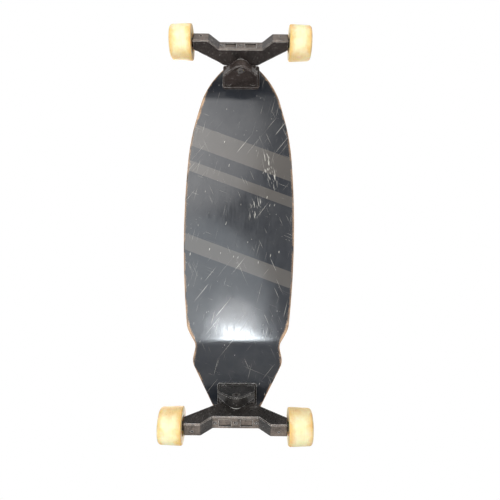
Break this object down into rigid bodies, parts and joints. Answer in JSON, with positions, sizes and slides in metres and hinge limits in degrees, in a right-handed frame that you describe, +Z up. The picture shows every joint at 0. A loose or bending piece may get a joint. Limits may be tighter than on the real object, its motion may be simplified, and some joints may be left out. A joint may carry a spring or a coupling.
{
  "type": "longboard skateboard",
  "caption": "Longboard skateboard with a narrow-nosed laminated deck, kicked ends, wide sprung lean-steer trucks and cream urethane wheels on ball bearings.",
  "frame": {"origin": "on the ground, midway between the axles and between the wheels", "axes": "+X along the board to the nose, +Y to the left, +Z up from the ground to the standing side"},
  "size_m": [0.854, 0.295, 0.1242],
  "materials": {
    "deck_ply": "laminated maple, charcoal lacquer below, bare ply edge",
    "grip": "black abrasive grip sheet",
    "black_casting": "sand cast, worn black paint",
    "urethane": "cream cast urethane, scuffed",
    "hub_nylon": "moulded nylon",
    "white_nylon": "plain nylon",
    "bearing_steel": "ground bearing steel",
    "axle_steel": "turned steel",
    "bolt_steel": "zinc plated",
    "spring_steel": "oiled spring wire",
    "spacer_aluminium": "turned aluminium",
    "insert_brass": "knurled brass",
    "bush_brass": "sintered bronze"
  },
  "bodies": {
    "board": {"deck": "deck_ply", "grip_tape": "grip", "front_baseplate": "black_casting", "front_threaded_inserts": "insert_brass", "front_deck_bolts": "bolt_steel", "front_pivot_bush": "bush_brass", "front_thrust_washer": "white_nylon", "front_torsion_spring": "spring_steel", "rear_baseplate": "black_casting", "rear_threaded_inserts": "insert_brass", "rear_deck_bolts": "bolt_steel", "rear_pivot_bush": "bush_brass", "rear_thrust_washer": "white_nylon", "rear_torsion_spring": "spring_steel"},
    "front_truck": {"front_hanger": "black_casting", "front_kingpin": "axle_steel", "front_kingpin_washer": "bolt_steel", "front_kingpin_nut": "bolt_steel", "front_axles": "axle_steel", "front_axle_screws": "bolt_steel", "front_left_inner_races": "bearing_steel", "front_left_spacer": "spacer_aluminium", "front_left_speed_washers": "bolt_steel", "front_left_axle_nut": "bolt_steel", "front_right_inner_races": "bearing_steel", "front_right_spacer": "spacer_aluminium", "front_right_speed_washers": "bolt_steel", "front_right_axle_nut": "bolt_steel"},
    "rear_truck": {"rear_hanger": "black_casting", "rear_kingpin": "axle_steel", "rear_kingpin_washer": "bolt_steel", "rear_kingpin_nut": "bolt_steel", "rear_axles": "axle_steel", "rear_axle_screws": "bolt_steel", "rear_left_inner_races": "bearing_steel", "rear_left_spacer": "spacer_aluminium", "rear_left_speed_washers": "bolt_steel", "rear_left_axle_nut": "bolt_steel", "rear_right_inner_races": "bearing_steel", "rear_right_spacer": "spacer_aluminium", "rear_right_speed_washers": "bolt_steel", "rear_right_axle_nut": "bolt_steel"},
    "front_left_wheel": {"front_left_tyre": "urethane", "front_left_wheel_hub": "hub_nylon", "front_left_outer_races": "bearing_steel"},
    "front_left_balls": {"front_left_ball_sets": "bearing_steel"},
    "front_right_wheel": {"front_right_tyre": "urethane", "front_right_wheel_hub": "hub_nylon", "front_right_outer_races": "bearing_steel"},
    "front_right_balls": {"front_right_ball_sets": "bearing_steel"},
    "rear_left_wheel": {"rear_left_tyre": "urethane", "rear_left_wheel_hub": "hub_nylon", "rear_left_outer_races": "bearing_steel"},
    "rear_left_balls": {"rear_left_ball_sets": "bearing_steel"},
    "rear_right_wheel": {"rear_right_tyre": "urethane", "rear_right_wheel_hub": "hub_nylon", "rear_right_outer_races": "bearing_steel"},
    "rear_right_balls": {"rear_right_ball_sets": "bearing_steel"}
  },
  "joints": [
    {"name": "front_steer", "type": "hinge", "parent": "board", "child": "front_truck", "pos_m": [0.37033, 0, 0.06907], "axis": [0.848, 0, 0.5299], "range_deg": [-25, 25], "stiffness_Nm_per_rad": 13, "deforming": ["front_torsion_spring"]},
    {"name": "rear_steer", "type": "hinge", "parent": "board", "child": "rear_truck", "pos_m": [-0.37033, 0, 0.06907], "axis": [-0.848, 0, 0.5299], "range_deg": [-25, 25], "stiffness_Nm_per_rad": 13, "deforming": ["rear_torsion_spring"]},
    {"name": "front_left_roll", "type": "hinge", "parent": "front_truck", "child": "front_left_wheel", "pos_m": [0.391, 0.1225, 0.036], "axis": [0, 1, 0], "continuous": true},
    {"name": "front_left_cage", "type": "hinge", "parent": "front_truck", "child": "front_left_balls", "pos_m": [0.391, 0.1225, 0.036], "axis": [0, 1, 0], "continuous": true},
    {"name": "front_right_roll", "type": "hinge", "parent": "front_truck", "child": "front_right_wheel", "pos_m": [0.391, -0.1225, 0.036], "axis": [0, 1, 0], "continuous": true},
    {"name": "front_right_cage", "type": "hinge", "parent": "front_truck", "child": "front_right_balls", "pos_m": [0.391, -0.1225, 0.036], "axis": [0, 1, 0], "continuous": true},
    {"name": "rear_left_roll", "type": "hinge", "parent": "rear_truck", "child": "rear_left_wheel", "pos_m": [-0.391, 0.1225, 0.036], "axis": [0, 1, 0], "continuous": true},
    {"name": "rear_left_cage", "type": "hinge", "parent": "rear_truck", "child": "rear_left_balls", "pos_m": [-0.391, 0.1225, 0.036], "axis": [0, 1, 0], "continuous": true},
    {"name": "rear_right_roll", "type": "hinge", "parent": "rear_truck", "child": "rear_right_wheel", "pos_m": [-0.391, -0.1225, 0.036], "axis": [0, 1, 0], "continuous": true},
    {"name": "rear_right_cage", "type": "hinge", "parent": "rear_truck", "child": "rear_right_balls", "pos_m": [-0.391, -0.1225, 0.036], "axis": [0, 1, 0], "continuous": true}
  ],
  "couplings": [
    {"joint": "front_left_cage", "follows": "front_left_roll", "ratio": 0.632},
    {"joint": "front_right_cage", "follows": "front_right_roll", "ratio": 0.632},
    {"joint": "rear_left_cage", "follows": "rear_left_roll", "ratio": 0.632},
    {"joint": "rear_right_cage", "follows": "rear_right_roll", "ratio": 0.632}
  ]
}
